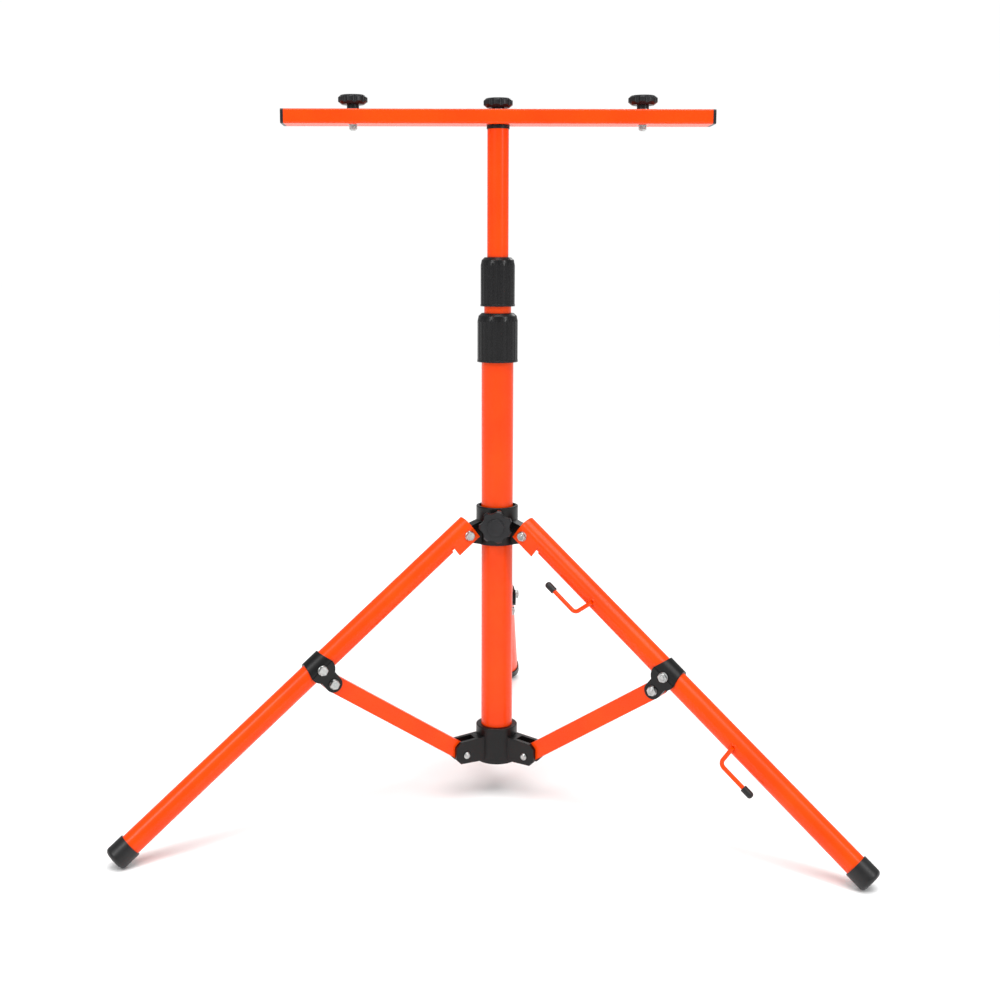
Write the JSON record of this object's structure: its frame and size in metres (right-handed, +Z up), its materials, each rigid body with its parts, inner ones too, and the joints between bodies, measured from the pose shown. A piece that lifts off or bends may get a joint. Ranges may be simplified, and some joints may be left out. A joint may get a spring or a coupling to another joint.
{
  "type": "work light tripod",
  "caption": "Folding steel tripod with braced tubular legs, a twist-lock telescopic mast and a crossbar with thumb screws for work lights.",
  "frame": {"origin": "on the floor, on the axis of the mast", "axes": "+Z up along the mast, -Y the front, +X to the right; one leg points back along +Y, and the crossbar stands turned 4.7 degrees from X"},
  "size_m": [0.8312, 0.7237, 0.8462],
  "materials": {
    "orange_steel": "gloss orange powder coat",
    "black_nylon": "satin moulded nylon",
    "rubber": "matte",
    "zinc_steel": "bright zinc plate"
  },
  "bodies": {
    "mast": {"outer_tube": "orange_steel", "lower_hub": "black_nylon", "lower_collet": "black_nylon", "lower_rivet_back": "zinc_steel", "lower_rivet_left": "zinc_steel", "lower_rivet_right": "zinc_steel"},
    "low_twist": {"lower_collar": "black_nylon"},
    "middle": {"middle_tube": "orange_steel", "middle_guide": "black_nylon", "upper_collet": "black_nylon"},
    "high_twist": {"upper_collar": "black_nylon"},
    "inner": {"inner_tube": "orange_steel", "inner_guide": "black_nylon", "top_plug": "black_nylon"},
    "bar": {"crossbar": "orange_steel", "end_plug_left": "black_nylon", "end_plug_right": "black_nylon", "lamp_insert_left": "zinc_steel", "lamp_insert_right": "zinc_steel"},
    "hub": {"upper_hub": "black_nylon"},
    "lock": {"lock_knob": "black_nylon", "lock_screw": "zinc_steel"},
    "hand_left": {"knob_left": "black_nylon", "washer_left": "zinc_steel", "screw_left": "zinc_steel"},
    "hand_right": {"knob_right": "black_nylon", "washer_right": "zinc_steel", "screw_right": "zinc_steel"},
    "hand_centre": {"knob_centre": "black_nylon", "washer_centre": "zinc_steel", "screw_centre": "zinc_steel"},
    "strut_back": {"strut_back": "orange_steel"},
    "leg_back": {"leg_tube_back": "orange_steel", "foot_cap_back": "rubber", "leg_clamp_back": "black_nylon", "leg_bolt_back": "zinc_steel", "clamp_bolt_back": "zinc_steel", "strut_bolt_back": "zinc_steel"},
    "strut_left": {"strut_left": "orange_steel"},
    "leg_left": {"leg_tube_left": "orange_steel", "foot_cap_left": "rubber", "leg_clamp_left": "black_nylon", "leg_bolt_left": "zinc_steel", "clamp_bolt_left": "zinc_steel", "strut_bolt_left": "zinc_steel"},
    "strut_right": {"strut_right": "orange_steel"},
    "leg_right": {"leg_tube_right": "orange_steel", "foot_cap_right": "rubber", "leg_clamp_right": "black_nylon", "leg_bolt_right": "zinc_steel", "clamp_bolt_right": "zinc_steel", "strut_bolt_right": "zinc_steel", "hook_high": "orange_steel", "hook_tip_high": "rubber", "hook_low": "orange_steel", "hook_tip_low": "rubber"}
  },
  "joints": [
    {"name": "fold", "type": "hinge", "parent": "mast", "child": "strut_back", "pos_m": [0, 0.0459, 0.06], "axis": [1, 0, 0], "range_deg": [0, 58.4]},
    {"name": "leg_back_turn", "type": "hinge", "parent": "strut_back", "child": "leg_back", "pos_m": [0, 0.21626, 0.17491], "axis": [1, 0, 0], "range_deg": [-106.93, 0]},
    {"name": "strut_left_turn", "type": "hinge", "parent": "mast", "child": "strut_left", "pos_m": [-0.03975, -0.02295, 0.06], "axis": [-0.5, 0.866, 0], "range_deg": [0, 58.5]},
    {"name": "leg_left_turn", "type": "hinge", "parent": "strut_left", "child": "leg_left", "pos_m": [-0.18729, -0.10813, 0.17491], "axis": [-0.5, 0.866, 0], "range_deg": [-106.93, 0]},
    {"name": "strut_right_turn", "type": "hinge", "parent": "mast", "child": "strut_right", "pos_m": [0.03975, -0.02295, 0.06], "axis": [-0.5, -0.866, 0], "range_deg": [0, 58.5]},
    {"name": "leg_right_turn", "type": "hinge", "parent": "strut_right", "child": "leg_right", "pos_m": [0.18729, -0.10813, 0.17491], "axis": [-0.5, -0.866, 0], "range_deg": [-106.93, 0]},
    {"name": "hub_turn", "type": "hinge", "parent": "leg_back", "child": "hub", "pos_m": [0, 0.0434, 0.3333], "axis": [1, 0, 0], "range_deg": [0, 48.53]},
    {"name": "lock_knob_turn", "type": "hinge", "parent": "hub", "child": "lock", "pos_m": [0, -0.02525, 0.345], "axis": [0, -1, 0], "range_deg": [0, 360]},
    {"name": "lower_collar_twist", "type": "hinge", "parent": "mast", "child": "low_twist", "pos_m": [0, 0, 0.5384], "axis": [0, 0, 1], "range_deg": [0, 120]},
    {"name": "middle_slide", "type": "slide", "parent": "mast", "child": "middle", "axis": [0, 0, 1], "range_m": [-0.007, 0.42]},
    {"name": "upper_collar_twist", "type": "hinge", "parent": "middle", "child": "high_twist", "pos_m": [0, 0, 0.604], "axis": [0, 0, 1], "range_deg": [0, 120]},
    {"name": "inner_slide", "type": "slide", "parent": "middle", "child": "inner", "axis": [0, 0, 1], "range_m": [-0.14, 0.3]},
    {"name": "bar_swivel", "type": "hinge", "parent": "inner", "child": "bar", "pos_m": [0, 0, 0.813], "axis": [0, 0, 1], "continuous": true},
    {"name": "left_knob_turn", "type": "hinge", "parent": "bar", "child": "hand_left", "pos_m": [-0.16744, -0.01377, 0.8295], "axis": [0, 0, 1], "range_deg": [0, 360]},
    {"name": "right_knob_turn", "type": "hinge", "parent": "bar", "child": "hand_right", "pos_m": [0.16744, 0.01377, 0.8295], "axis": [0, 0, 1], "range_deg": [0, 360]},
    {"name": "centre_knob_turn", "type": "hinge", "parent": "bar", "child": "hand_centre", "pos_m": [0, 0, 0.8295], "axis": [0, 0, 1], "range_deg": [0, 360]}
  ],
  "couplings": [
    {"joint": "leg_back_turn", "follows": "fold", "ratio": -1.8276},
    {"joint": "strut_left_turn", "follows": "fold", "ratio": 1},
    {"joint": "leg_left_turn", "follows": "fold", "ratio": -1.8276},
    {"joint": "strut_right_turn", "follows": "fold", "ratio": 1},
    {"joint": "leg_right_turn", "follows": "fold", "ratio": -1.8276},
    {"joint": "hub_turn", "follows": "fold", "ratio": 0.8276}
  ]
}
